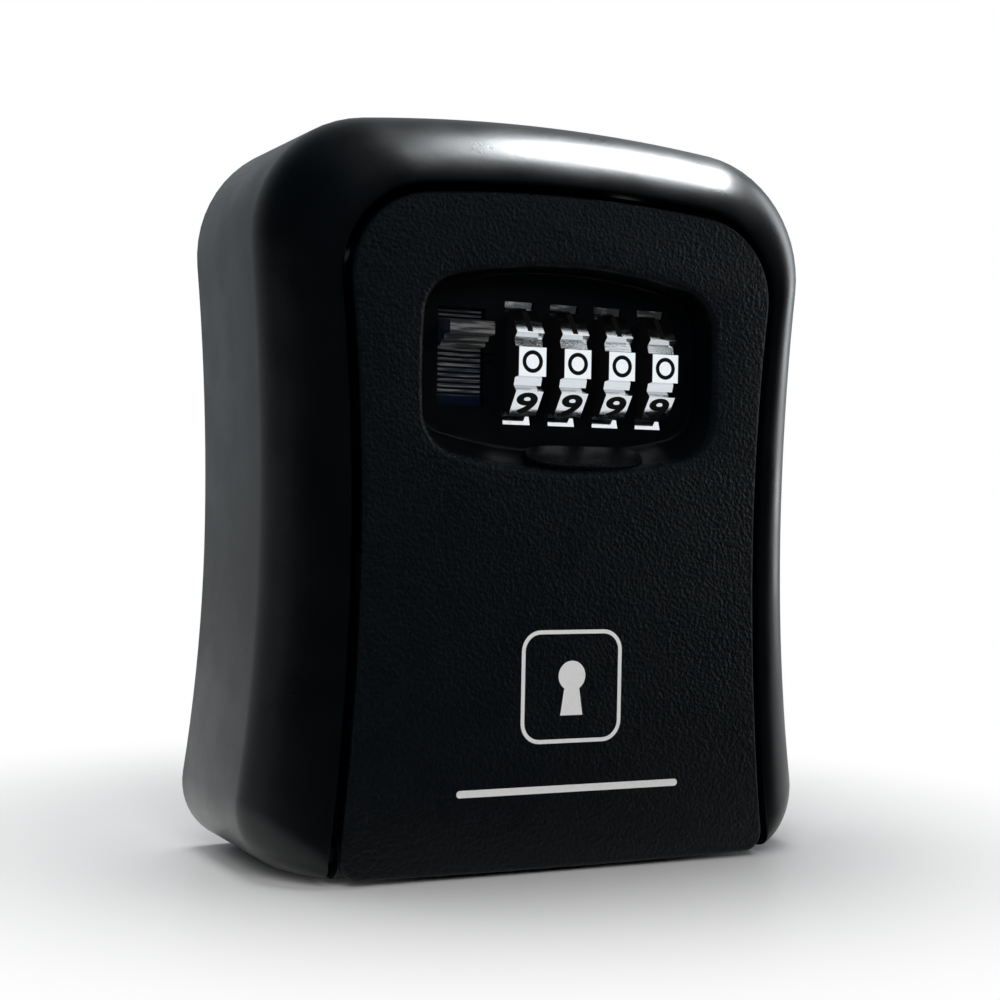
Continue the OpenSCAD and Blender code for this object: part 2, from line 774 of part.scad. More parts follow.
module cover_screws() {
    head_r = 2.3;
    head_t = 1.4;
    color([0.62, 0.63, 0.64])
        for (x = [-post_x, post_x], z = post_z)
            difference() {
                union() {
                    y_rod(screw_r - 0.01, [cover_inside - 8, cover_back + 0.2], x, z);
                    y_rod(head_r, [cover_back, cover_back + head_t], x, z);
                }
                for (s = [[1.3, 0.3], [0.3, 1.3]])
                    block([x - s[0], x + s[0]], [cover_back + head_t / 2, cover_back + head_t + 1],
                        [z - s[1], z + s[1]]);
            }
}

body_shell();
key_hook();
hook_screws();
hinge_pins();
door_panel();
inner_cover();
cover_screws();
dial_wheel_1();
dial_wheel_2();
dial_wheel_3();
dial_wheel_4();
gate_ring_1();
gate_ring_2();
gate_ring_3();
gate_ring_4();
dial_shaft();
ring_spacers();
shaft_clips();
shaft_spring();
reset_tab();
detent_spring();
detent_rivets();
latch_plate();
latch_spring();
open_slider();
fence_bar();
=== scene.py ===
import math

import bmesh
import bpy
from mathutils import Euler, Matrix, Vector

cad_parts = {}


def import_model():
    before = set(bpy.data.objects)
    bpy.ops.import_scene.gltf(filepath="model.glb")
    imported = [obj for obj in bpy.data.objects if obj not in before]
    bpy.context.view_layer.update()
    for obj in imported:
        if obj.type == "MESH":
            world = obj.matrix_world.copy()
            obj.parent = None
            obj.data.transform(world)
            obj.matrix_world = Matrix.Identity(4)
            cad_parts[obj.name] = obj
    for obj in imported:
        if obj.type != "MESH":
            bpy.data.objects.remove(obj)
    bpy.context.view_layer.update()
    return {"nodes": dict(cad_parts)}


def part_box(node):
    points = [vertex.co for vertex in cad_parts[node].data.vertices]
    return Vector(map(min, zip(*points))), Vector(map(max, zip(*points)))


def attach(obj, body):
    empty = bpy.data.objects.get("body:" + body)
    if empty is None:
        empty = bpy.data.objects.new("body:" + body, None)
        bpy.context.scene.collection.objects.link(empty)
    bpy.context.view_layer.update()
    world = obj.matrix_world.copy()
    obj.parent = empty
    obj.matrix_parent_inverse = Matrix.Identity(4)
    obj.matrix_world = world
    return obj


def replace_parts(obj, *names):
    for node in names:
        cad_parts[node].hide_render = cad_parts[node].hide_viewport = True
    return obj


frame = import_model()
MM = 0.001

# ---------- sizes in millimetres, from the frame and a few driving dimensions ----------

shell_low, shell_high = [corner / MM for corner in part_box("body_shell")]
door_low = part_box("door_panel")[0] / MM
slider_low, slider_high = [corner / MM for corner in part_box("open_slider")]
pins_low, pins_high = [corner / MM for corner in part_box("hinge_pins")]

HALF_H = shell_high.z
BODY_Y = shell_low.y                    # front edge of the frame
DOOR_Y = door_low.y                     # front face of the door
WAIST_HALF_W = 45.2
WAIST_Z = -6
FRAME_SIDE = 10.3
FRAME_TOP = 11.25
SHOULDER_Y = -27.8
WALL = 3
EDGE_R = 0.6                            # rounding of the frame's and the door's edges
WALL_SHARE = WALL / FRAME_SIDE          # share of the frame's slope that the walls take up
WALL_HOLE_X, WALL_HOLE_Z = (-30, 30), (-40, 40)
WALL_HOLE_R = 2.75
SEAT_R, SEAT_H = 6, 0.5                 # seats inside the back wall around the wall screws
STRIKE_HALF_W = 8.5                     # pocket behind the top bar that the bolt rises into

OPEN_HALF_W = WAIST_HALF_W - FRAME_SIDE
OPEN_TOP = HALF_H - FRAME_TOP
OPEN_WAIST_Z = -8
RUN_OUT_Z = HALF_H + 8                  # where the cutters of the opening end, below the frame
DOOR_GAP = 1.3
FOOT_GAP = 0.4
DOOR_BACK = DOOR_Y + 2.6
LIP_BACK = DOOR_Y + 3.7
SKIRT_Y = DOOR_Y + 3.8
FLOOR_Y = DOOR_Y + 5.8                  # floor of the dial recess
FLOOR_BACK = FLOOR_Y + 2

HINGE_Y = (pins_low.y + pins_high.y) / 2
HINGE_Z = (pins_low.z + pins_high.z) / 2
PIN_R = (pins_high.z - pins_low.z) / 2
PIN_END_X = pins_high.x
KNUCKLE_R = 3.6
KNUCKLE_X = (24, 36.2)
KNUCKLE_NECK = 2.6
BOSS_X = (37.9, 46.9)
BOSS_BACK = HINGE_Y + 4.6
FOOT_SLOT_BACK = HINGE_Y + KNUCKLE_R + 2.6

RECESS_X = 0.5
RECESS_Z = 18.55
RECESS_HALF_W = 25.5
RECESS_HALF_H = 16.15
RECESS_CORNER_R = 7
RECESS_SIDE_R = -150                    # negative: the sides bulge outward
TUB_HALF_W = RECESS_HALF_W + 2.1        # block behind the door that holds the recess
TUB_HALF_H = RECESS_HALF_H + 2.05
TUB_CORNER_R = 8

WHEELS = [f"dial_wheel_{i}" for i in range(1, 5)]
INSIDE = [f"gate_ring_{i}" for i in range(1, 5)] + [
    "key_hook", "hook_screws", "hinge_pins", "inner_cover", "cover_screws", "dial_shaft", "ring_spacers",
    "shaft_clips", "shaft_spring", "reset_tab", "detent_spring", "detent_rivets", "latch_plate",
    "latch_spring", "fence_bar"]
wheel_boxes = [[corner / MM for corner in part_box(name)] for name in WHEELS]
WHEEL_X = [(low.x + high.x) / 2 for low, high in wheel_boxes]
WHEEL_W = wheel_boxes[0][1].x - wheel_boxes[0][0].x
AXLE_Y = (wheel_boxes[0][0].y + wheel_boxes[0][1].y) / 2
AXLE_Z = (wheel_boxes[0][0].z + wheel_boxes[0][1].z) / 2
LAND_R = 10.6                           # axle to the flat lands that carry the numerals
LAND_HALF = 2.2
ZERO_TALL, NUMERAL_TALL, NUMERAL_WIDE = 3.44, 3.9, 3.6
WHEEL_CLEAR_R = math.hypot(LAND_R, LAND_HALF) + 0.25
WINDOW_W = WHEEL_W + 0.5
WINDOW_H = 18.5
SHAFT_BORE_R = 2.05
COLLAR_ROOM_R = 4.7
RIBS = ((-11.5, -10.4), (22.9, 24.1))   # the two ribs that carry the shaft
RIB_HALF_H = 3.6
POSTS = [(x, z) for x in (-24.9, 24.9) for z in (5.2, 35.5)]
POST_R = 2.4
SCREW_R = 1.2
COVER_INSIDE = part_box("inner_cover")[1].y / MM - 1.2

SLIDER_X = (slider_low.x + slider_high.x) / 2
SLIDER_PLATE_HALF = (slider_high.x - slider_low.x) / 2
SLIDER_WINDOW_W = 7.8
SLIDER_WINDOW_Z = (12.8, 27.7)
SLIDER_CHANNEL_Z = (SLIDER_WINDOW_Z[0] - 11.6, SLIDER_WINDOW_Z[1] + 6.2)
SLIDER_POCKET_Y = FLOOR_BACK - 1
PEG_R = 1.4
PEG_Z = (14, 30.8)

# ---------- outlines, as closed lists of (x, z) ----------

SIDE_STEPS = 10
CORNER_STEPS = 14
END_STEPS = 12


def arc(centre, radius, start, end, steps):
    """Points along an arc from start to end, without its last one."""
    angles = [start + (end - start) * i / steps for i in range(steps)]
    return [(centre[0] + radius * math.cos(a), centre[1] + radius * math.sin(a)) for a in angles]


def corner_centre(side_c, side_r, end_c, end_r, r):
    """Centre of the corner arc that touches the side arc and the end arc."""
    dx, dz = side_c[0] - end_c[0], side_c[1] - end_c[1]
    d, ra, rb = math.hypot(dx, dz), end_r - r, side_r + r
    a = (ra * ra - rb * rb + d * d) / (2 * d)
    h = math.copysign(math.sqrt(ra * ra - a * a), side_r)
    return end_c[0] + (a * dx - h * dz) / d, end_c[1] + (a * dz + h * dx) / d


def quarter(half_w, mid_z, side_r, end_z, end_r, corner_r):
    """Quarter outline from the waist up to the middle of the end edge."""
    side_c, end_c = (half_w + side_r, mid_z), (0, end_z - end_r)
    c = corner_centre(side_c, side_r, end_c, end_r, corner_r)
    s = math.copysign(1, side_r)
    a0 = math.atan2(s * (side_c[1] - c[1]), s * (side_c[0] - c[0]))
    a1 = math.atan2(c[1] - end_c[1], c[0] - end_c[0])
    return (arc(side_c, -side_r, 0, a0, SIDE_STEPS) + arc(c, corner_r, a0, a1, CORNER_STEPS)
            + arc(end_c, end_r, a1, math.pi / 2, END_STEPS) + [(0, end_z)])


def flip(points, x, z):
    return [(p[0] * x, p[1] * z) for p in points]


def outline(half_w, mid_z, top, bottom):
    """Whole outline: top = (end_z, end_r, corner_r, side_r), bottom the same with end_z below."""
    up = quarter(half_w, mid_z, top[3], top[0], top[1], top[2])
    low = quarter(half_w, -mid_z, bottom[3], bottom[0], bottom[1], bottom[2])
    return (up[:-1] + flip(up, -1, 1)[:0:-1] + flip(low, -1, -1)[:-1] + flip(low, 1, -1)[:0:-1])


def mix(a, b, t):
    return [(p[0] + (q[0] - p[0]) * t, p[1] + (q[1] - p[1]) * t) for p, q in zip(a, b)]


def bezier(p, t):
    u = 1 - t
    return p[0] * u ** 3 + 3 * p[1] * u * u * t + 3 * p[2] * u * t * t + p[3] * t ** 3


def opening_outline(inset, bottom_z, bottom_r):
    return outline(OPEN_HALF_W - inset, OPEN_WAIST_Z,
                   (OPEN_TOP - inset, 227 - inset, 14 - inset, 345 + inset),
                   (bottom_z, 2000, bottom_r, 417 + inset))


def door_outline(inset):
    return opening_outline(DOOR_GAP + inset, HALF_H - FOOT_GAP - inset, 3 - inset)


def recess_outline(side, top, bottom):
    """Outline of the dial recess, drawn in by separate amounts at its sides, top and bottom."""
    corner_r = RECESS_CORNER_R - side
    points = outline(RECESS_HALF_W - side, 0, (RECESS_HALF_H - top, 86, corner_r, RECESS_SIDE_R),
                     (RECESS_HALF_H - bottom, 83, corner_r, RECESS_SIDE_R))
    return [(x + RECESS_X, z + RECESS_Z) for x, z in points]


BODY_OUTER = outline(WAIST_HALF_W, WAIST_Z, (HALF_H, 278, 19, 417), (HALF_H, 1800, 10, 278))
BODY_INNER = outline(OPEN_HALF_W, OPEN_WAIST_Z, (OPEN_TOP, 227, 14, 345),
                     (HALF_H - 0.5, 2000, 4, 417))

# ---------- solids ----------


def new_object(name, vertices, faces):
    """Object from points in millimetres."""
    mesh = bpy.data.meshes.new(name)
    mesh.from_pydata([[c * MM for c in v] for v in vertices], [], faces)
    piece = bpy.data.objects.new(name, mesh)
    bpy.context.scene.collection.objects.link(piece)
    clean = bmesh.new()
    clean.from_mesh(mesh)
    bmesh.ops.recalc_face_normals(clean, faces=clean.faces)
    clean.to_mesh(mesh)
    clean.free()
    return piece


def skin(stack, name="solid"):
    """Solid through a stack of outlines, each given as (y, points), closed at both ends."""
    n = len(stack[0][1])
    vertices = [(x, y, z) for y, points in stack for x, z in points]
    faces = []
    for k in range(len(stack) - 1):
        for i in range(n):
            j = (i + 1) % n
            faces.append((k * n + i, k * n + j, (k + 1) * n + j, (k + 1) * n + i))
    faces.append(tuple(range(n)))
    faces.append(tuple(range((len(stack) - 1) * n, len(stack) * n)))
    return new_object(name, vertices, faces)


def xz_prism(y, points):
    return skin([(y[1], points), (y[0], points)])


def yz_prism(x, points):
    n = len(points)
    vertices = [(px, y, z) for px in x for y, z in points]
    faces = [(i, (i + 1) % n, n + (i + 1) % n, n + i) for i in range(n)]
    return new_object("solid", vertices, faces + [tuple(range(n)), tuple(range(n, 2 * n))])


def block(x, y, z):
    return xz_prism(y, [(x[0], z[0]), (x[1], z[0]), (x[1], z[1]), (x[0], z[1])])


def round_block(x, y, z, r, steps=8):
    points = []
    for cx, cz, start in ((x[1] - r, z[1] - r, 0), (x[0] + r, z[1] - r, 1),
                          (x[0] + r, z[0] + r, 2), (x[1] - r, z[0] + r, 3)):
        a = start * math.pi / 2
        points += arc((cx, cz), r, a, a + math.pi / 2, steps) + [
            (cx + r * math.cos(a + math.pi / 2), cz + r * math.sin(a + math.pi / 2))]
    return xz_prism(y, points)


def x_rod(r, x, y, z, steps=64):
    return yz_prism(x, arc((y, z), r, 0, 2 * math.pi, steps))


def y_rod(r, y, x, z, steps=48):
    return xz_prism(y, arc((x, z), r, 0, 2 * math.pi, steps))


def combine(piece, others, operation):
    """Applies a boolean of others, which are used up, to piece."""
    for other in others:
        modifier = piece.modifiers.new("boolean", "BOOLEAN")
        modifier.operation, modifier.solver, modifier.object = operation, "EXACT", other
        bake_modifiers(piece)
        bpy.data.objects.remove(other)
    return piece


def cut(piece, *others):
    return combine(piece, others, "DIFFERENCE")


def join(piece, *others):
    return combine(piece, others, "UNION")


def bake_modifiers(piece):
    evaluated = piece.evaluated_get(bpy.context.evaluated_depsgraph_get())
    mesh = bpy.data.meshes.new_from_object(evaluated)
    piece.modifiers.clear()
    piece.data = mesh


def smooth(piece, angle=30):
    """Smooth shading that breaks at edges sharper than angle."""
    piece.data.shade_smooth()
    piece.data.set_sharp_from_angle(angle=math.radians(angle))
    return piece


def bevel(piece, width, segments=2, angle=35):
    modifier = piece.modifiers.new("bevel", "BEVEL")
    modifier.width, modifier.segments = width * MM, segments
    modifier.limit_method, modifier.angle_limit = "ANGLE", math.radians(angle)
    modifier.use_clamp_overlap = True
    return piece


def finish_piece(piece, name, body, slot, *materials):
    piece.name = piece.data.name = name
    piece.data.materials.clear()
    for material in materials:
        piece.data.materials.append(material)
    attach(piece, body)
    return piece

# ---------- materials ----------


class Shader:
    """A node material with a Principled BSDF, in the object's own coordinates in millimetres."""

    def __init__(self, name):
        self.material = bpy.data.materials.new(name)
        self.material.use_nodes = True
        self.tree = self.material.node_tree
        self.bsdf = self.tree.nodes["Principled BSDF"]
        coordinates = self.tree.nodes.new("ShaderNodeTexCoord")
        scale = self.node("ShaderNodeVectorMath", operation="SCALE")
        self.link(coordinates.outputs["Object"], scale.inputs[0])
        scale.inputs["Scale"].default_value = 1 / MM
        self.place = scale.outputs[0]

    def node(self, kind, **settings):
        made = self.tree.nodes.new(kind)
        for key, value in settings.items():
            setattr(made, key, value)
        return made

    def link(self, source, target):
        if hasattr(source, "links"):
            self.tree.links.new(source, target)
        else:
            target.default_value = source

    def stretched(self, x, y, z):
        """The coordinates multiplied by x, y and z."""
        product = self.node("ShaderNodeVectorMath", operation="MULTIPLY")
        self.link(self.place, product.inputs[0])
        product.inputs[1].default_value = (x, y, z)
        return product.outputs[0]

    def noise(self, size, detail=3, place=None):
        """Noise whose features are about size millimetres across."""
        made = self.node("ShaderNodeTexNoise")
        self.link(place or self.place, made.inputs["Vector"])
        made.inputs["Scale"].default_value = 1 / size
        made.inputs["Detail"].default_value = detail
        return made.outputs[0]

    def cells(self, size, feature="SMOOTH_F1"):
        made = self.node("ShaderNodeTexVoronoi", feature=feature)
        self.link(self.place, made.inputs["Vector"])
        made.inputs["Scale"].default_value = 1 / size
        return made.outputs["Distance"]

    def remap(self, value, low, high, out_low, out_high):
        made = self.node("ShaderNodeMapRange", interpolation_type="SMOOTHSTEP")
        self.link(value, made.inputs["Value"])
        for name, number in (("From Min", low), ("From Max", high),
                             ("To Min", out_low), ("To Max", out_high)):
            made.inputs[name].default_value = number
        return made.outputs[0]

    def maths(self, operation, a, b=0.0):
        made = self.node("ShaderNodeMath", operation=operation)
        self.link(a, made.inputs[0])
        self.link(b, made.inputs[1])
        return made.outputs[0]

    def blend(self, share, a, b):
        """Colour a where share is 0 and b where it is 1."""
        made = self.node("ShaderNodeMix", data_type="RGBA")
        self.link(share, made.inputs[0])
        for socket, colour in ((made.inputs[6], a), (made.inputs[7], b)):
            self.link(colour if hasattr(colour, "links") else (*colour, 1), socket)
        return made.outputs[2]

    def axis(self, name):
        """One of the coordinates, in millimetres."""
        made = self.node("ShaderNodeSeparateXYZ")
        self.link(self.place, made.inputs[0])
        return made.outputs[name]

    def bump(self, height, depth):
        """Relief depth millimetres deep; repeated calls stack."""
        made = self.node("ShaderNodeBump")
        made.inputs["Distance"].default_value = depth * MM
        self.link(height, made.inputs["Height"])
        before = self.bsdf.inputs["Normal"].links
        if before:
            self.link(before[0].from_socket, made.inputs["Normal"])
        self.link(made.outputs[0], self.bsdf.inputs["Normal"])

    def set(self, **values):
        for name, value in values.items():
            self.link((*value, 1) if isinstance(value, tuple) else value,
                      self.bsdf.inputs[name.replace("_", " ").title().replace("Ior", "IOR")])
        return self.material


def shell_paint():
    """Satin black paint on a cast body: soft orange peel and a little dust in the gloss."""
    s = Shader("shell_paint")
    mottle = s.noise(9, 4)
    s.bump(s.noise(0.9, 2), 0.012)
    s.bump(s.noise(0.16, 2), 0.004)
    colour = s.blend(mottle, (0.0006, 0.0012, 0.0020), (0.0016, 0.0028, 0.0042))
    return s.set(base_color=colour, roughness=s.remap(mottle, 0.3, 0.7, 0.27, 0.34))


def door_paint():
    """Fine leather-like powder coat, smoother in the dial recess."""
    s = Shader("door_paint")
    inside = s.remap(s.axis("Y"), DOOR_Y + 0.5, DOOR_Y + 1.5, 1.0, 0.1)
    pebbles = s.maths("ADD", s.cells(0.55), s.maths("MULTIPLY", s.noise(0.28, 3), 0.6))
    grain = s.maths("MULTIPLY", pebbles, inside)
    s.bump(grain, 0.16)
    s.bump(s.noise(0.12, 2), 0.006)
    mottle = s.noise(6, 4)
    colour = s.blend(s.remap(grain, 0.25, 0.95, 0, 1), (0.0006, 0.0014, 0.0022), (0.0024, 0.0044, 0.0064))
    return s.set(base_color=colour, roughness=s.remap(mottle, 0.3, 0.7, 0.36, 0.46),
                 specular_ior_level=0.3)


def rear_paint():
    """Thinner, rougher paint where the castings face the inside."""
    s = Shader("rear_paint")
    s.bump(s.noise(0.7, 4), 0.03)
    return s.set(base_color=s.blend(s.noise(8, 4), (0.020, 0.022, 0.025), (0.034, 0.037, 0.041)),
                 roughness=s.remap(s.noise(4), 0.3, 0.7, 0.5, 0.62))


def wheel_chrome():
    """Bright plated rim; the wheels' flat sides and hollows are black."""
    s = Shader("wheel_chrome")
    normal = s.node("ShaderNodeSeparateXYZ")
    s.link(s.node("ShaderNodeNewGeometry").outputs["True Normal"], normal.inputs[0])
    height = s.node("ShaderNodeVectorMath", operation="LENGTH")
    spot = s.node("ShaderNodeVectorMath", operation="SUBTRACT")
    s.link(s.stretched(0, 1, 1), spot.inputs[0])
    spot.inputs[1].default_value = (0, AXLE_Y, AXLE_Z)
    s.link(spot.outputs[0], height.inputs[0])
    rim = s.maths("MULTIPLY", s.remap(s.maths("ABSOLUTE", normal.outputs[0]), 0.3, 0.6, 1, 0),
                  s.remap(height.outputs["Value"], 8.8, 9.1, 0, 1))
    scratches = s.noise(0.5, 4, s.stretched(0.25, 1, 1))
    plated = s.blend(scratches, (0.72, 0.73, 0.75), (0.86, 0.87, 0.88))
    s.bump(s.noise(0.22, 3), 0.004)
    return s.set(base_color=s.blend(rim, (0.006, 0.006, 0.007), plated), metallic=rim,
                 roughness=s.maths("ADD", s.remap(rim, 0, 1, 0.45, 0.06),
                                   s.remap(scratches, 0.4, 0.8, 0, 0.1)))


def numeral_black():
    s = Shader("numeral_black")
    s.bump(s.noise(0.3, 2), 0.01)
    return s.set(base_color=s.blend(s.noise(0.8), (0.004, 0.004, 0.004), (0.012, 0.012, 0.013)),
                 roughness=s.remap(s.noise(0.5), 0.3, 0.7, 0.3, 0.45))


def slider_plastic():
    """Blue-black moulded plastic, with a grey painted highlight in streaks on the front faces of its ribs.
    """
    s = Shader("slider_plastic")
    z, y = s.axis("Z"), s.axis("Y")
    ribbed = s.maths("MULTIPLY", s.remap(z, SLIDER_WINDOW_Z[0] + 1.4, SLIDER_WINDOW_Z[0] + 1.8, 0, 1),
                     s.remap(z, SLIDER_WINDOW_Z[1] - 0.5, SLIDER_WINDOW_Z[1] - 0.2, 1, 0))
    band = s.maths("MULTIPLY", s.remap(y, SLIDER_POCKET_Y, SLIDER_POCKET_Y + 0.2, 1, 0), ribbed)
    streaks = s.remap(s.noise(0.8, 4, s.stretched(0.12, 0.6, 1.6)), 0.42, 0.62, 0.15, 1)
    normal = s.node("ShaderNodeSeparateXYZ")
    s.link(s.node("ShaderNodeNewGeometry").outputs["True Normal"], normal.inputs[0])
    front = s.remap(s.maths("ABSOLUTE", normal.outputs[0]), 0.3, 0.7, 1, 0.1)
    # painted highlight: grey streaks on the front faces of the ribs stand in for light catching them
    painted_rib_highlight = s.maths("MULTIPLY", s.maths("MULTIPLY", band, streaks), front)
    colour = s.blend(painted_rib_highlight, (0.002, 0.006, 0.016), (0.17, 0.168, 0.16))
    s.bump(s.noise(0.25, 3), 0.02)
    return s.set(base_color=colour, roughness=s.remap(painted_rib_highlight, 0, 1, 0.34, 0.6))


def print_white():
    """Screen-printed white ink with pinholes."""
    s = Shader("print_white")
    s.bump(s.noise(0.35, 3), 0.01)
    return s.set(base_color=s.blend(s.noise(0.5, 4), (0.78, 0.78, 0.77), (0.92, 0.92, 0.91)),
                 roughness=s.remap(s.noise(0.9), 0.3, 0.7, 0.4, 0.55))


def cover_plastic():
    s = Shader("cover_plastic")
    s.bump(s.noise(0.5, 4), 0.02)
    return s.set(base_color=s.blend(s.noise(7, 4), (0.022, 0.023, 0.025), (0.036, 0.038, 0.041)),
                 roughness=s.remap(s.noise(3), 0.3, 0.7, 0.42, 0.55))


def reset_plastic():
    s = Shader("reset_plastic")
    s.bump(s.noise(0.4, 3), 0.015)
    return s.set(base_color=s.blend(s.noise(3, 4), (0.62, 0.61, 0.57), (0.74, 0.73, 0.69)),
                 roughness=s.remap(s.noise(2), 0.3, 0.7, 0.38, 0.5), subsurface_weight=0.05)


def metal(name, dark, bright, rough, grain, stretch):
    """Bare or plated metal with brushed or cast grain."""
    s = Shader(name)
    grain_noise = s.noise(grain, 4, s.stretched(*stretch))
    stain = s.noise(6, 4)
    s.bump(grain_noise, 0.01)
    return s.set(base_color=s.blend(stain, dark, bright), metallic=1.0,
                 roughness=s.maths("ADD", s.remap(grain_noise, 0.3, 0.7, rough - 0.06, rough + 0.08),
                                   s.remap(stain, 0.4, 0.8, 0, 0.08)))


PAINT = shell_paint()
DOOR_PAINT = door_paint()
REAR_PAINT = rear_paint()
CHROME = wheel_chrome()
NUMERAL = numeral_black()
SLIDER = slider_plastic()
PRINT = print_white()
COVER = cover_plastic()
RESET = reset_plastic()
BLACK_STEEL = metal("black_steel", (0.02, 0.021, 0.023), (0.045, 0.047, 0.05), 0.45, 0.5, (1, 1, 1))
ZINC = metal("zinc", (0.32, 0.33, 0.34), (0.5, 0.51, 0.52), 0.42, 0.5, (1, 1, 1))
BRASS = metal("brass", (0.55, 0.40, 0.16), (0.74, 0.58, 0.28), 0.25, 0.4, (3, 0.3, 0.3))
STEEL = metal("steel", (0.45, 0.46, 0.47), (0.66, 0.67, 0.68), 0.3, 0.4, (0.3, 3, 3))
SPRING_STEEL = metal("spring_steel", (0.3, 0.31, 0.33), (0.55, 0.56, 0.58), 0.22, 0.3, (1, 1, 1))

# ---------- body ----------


def body_outer_skin():
    rings = []
    back_steps, front_steps = 5, 26
    for i in range(back_steps):
        a = i / (back_steps - 1) * math.pi / 2
        rings.append((-EDGE_R * (1 - math.cos(a)), mix(BODY_OUTER, BODY_INNER, 0.05 * (1 - math.sin(a)))))
    for i in range(front_steps + 1):
        t = i / front_steps
        depth = bezier((SHOULDER_Y, SHOULDER_Y - 4.5, BODY_Y, BODY_Y), t)
        rings.append((depth, mix(BODY_OUTER, BODY_INNER, bezier((0, 0, 0.6, 1), t))))
    return skin(rings, "shell")


def at_wall_holes(r, y):
    return [y_rod(r, y, x, z) for x in WALL_HOLE_X for z in WALL_HOLE_Z]


def within(x, z, points):
    """Whether the point lies inside the closed outline."""
    inside = False
    for (x0, z0), (x1, z1) in zip(points, points[1:] + points[:1]):
        if (z0 > z) != (z1 > z) and x < x0 + (z - z0) * (x1 - x0) / (z1 - z0):
            inside = not inside
    return inside


def paint_rear(piece, faces_inside):
    """Gives the second material to the faces that faces_inside(centre, normal) picks."""
    for face in piece.data.polygons:
        face.material_index = int(faces_inside(face.center / MM, face.normal))


def hinge_bosses():
    return [block(sorted((side * BOSS_X[0], side * BOSS_X[1])), (DOOR_Y, BOSS_BACK),
                  (-HALF_H - 1, HINGE_Z + KNUCKLE_R)) for side in (-1, 1)]


def edge_round(steps=6):
    """Quarter-round edge as (depth, inset) pairs, from its back to its front."""
    angles = [i / steps * math.pi / 2 for i in range(steps + 1)]
    return [(EDGE_R * (1 - math.sin(a)), EDGE_R * (1 - math.cos(a))) for a in angles]


def opening_cutter():
    """Prism of the door opening, flared at the front so that it leaves a rounded edge."""
    rings = [(LIP_BACK + 0.5, opening_outline(0, RUN_OUT_Z, 4))]
    rings += [(BODY_Y + depth, opening_outline(-inset, RUN_OUT_Z, 4)) for depth, inset in edge_round()]
    rings.append((DOOR_Y - 1, opening_outline(-EDGE_R - 0.02, RUN_OUT_Z, 4)))
    return skin(rings)


def body_shell():
    cavity = skin([(-WALL, mix(BODY_OUTER, BODY_INNER, WALL_SHARE + 0.04)),
                   (-WALL - 0.4, mix(BODY_OUTER, BODY_INNER, WALL_SHARE)),
                   (SHOULDER_Y - 0.7, mix(BODY_OUTER, BODY_INNER, WALL_SHARE)),
                   (LIP_BACK, mix(BODY_OUTER, BODY_INNER, 0.93))])
    cut(cavity, *hinge_bosses(), *at_wall_holes(SEAT_R, (-WALL - SEAT_H, -WALL + 0.5)))
    strike_pocket = block((-STRIKE_HALF_W, STRIKE_HALF_W), (LIP_BACK, SHOULDER_Y),
                          (OPEN_TOP - 4, OPEN_TOP + 3.75))
    shell = body_outer_skin()
    cut(shell, cavity, strike_pocket)
    cut(shell, opening_cutter())
    foot_y = (DOOR_Y - 1, FOOT_SLOT_BACK)
    foot_slot = xz_prism(foot_y, opening_outline(-0.04, RUN_OUT_Z + 1, 4))
    above_hinge = block((-60, 60), (foot_y[0] - 1, foot_y[1] + 1), (HINGE_Z + KNUCKLE_R, HALF_H))
    cut(shell, cut(foot_slot, above_hinge))
    cut(shell, *at_wall_holes(WALL_HOLE_R, (-WALL - 2, 1)))
    for side in (-1, 1):
        cut(shell, x_rod(PIN_R, sorted((side * (BOSS_X[0] - 1), side * PIN_END_X)), HINGE_Y, HINGE_Z))
    smooth(shell, 32)
    finish_piece(shell, "shell", "box", "shell_paint", PAINT, REAR_PAINT)
    wall_middle = mix(BODY_OUTER, BODY_INNER, WALL_SHARE * 0.6)

    def in_cavity(centre, normal):
        if centre.y < SHOULDER_Y - 0.7:
            return normal.y > 0.2
        return centre.y < -0.7 and within(centre.x, centre.z, wall_middle)

    paint_rear(shell, in_cavity)
    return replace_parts(shell, "body_shell")

# ---------- door ----------


def door_face():
    rings = [(DOOR_BACK, door_outline(0))]
    rings += [(DOOR_Y + depth, door_outline(inset)) for depth, inset in edge_round()]
    return skin(rings)


def recess_cutter():
    """Dial recess: a flat floor, steep walls, a ramp below, and a rim that rolls into the face."""
    # control points as (y, side, top, bottom)
    floor_round = ((FLOOR_Y, 1.9, 1.4, 4.3), (FLOOR_Y, 1.4, 1.0, 3.7), (FLOOR_Y - 0.1, 1.3, 0.9, 3.6),
                   (FLOOR_Y - 0.6, 1.2, 0.85, 3.3))
    rim_round = ((DOOR_Y + 1.3, 0.7, 0.6, 1.2), (DOOR_Y + 0.5, 0.55, 0.5, 0.8), (DOOR_Y, 0.3, 0.25, 0.4),
                 (DOOR_Y - 0.03, -0.55, -0.55, -0.55))
    rings = [(FLOOR_Y, recess_outline(2.2, 1.7, 4.6))]
    for curve in (floor_round, rim_round):
        for i in range(1, 9):
            y, *insets = [bezier([p[axis] for p in curve], i / 8) for axis in range(4)]
            rings.append((y, recess_outline(*insets)))
    rings.append((DOOR_Y - 1, recess_outline(-0.56, -0.56, -0.56)))
    return skin(rings)


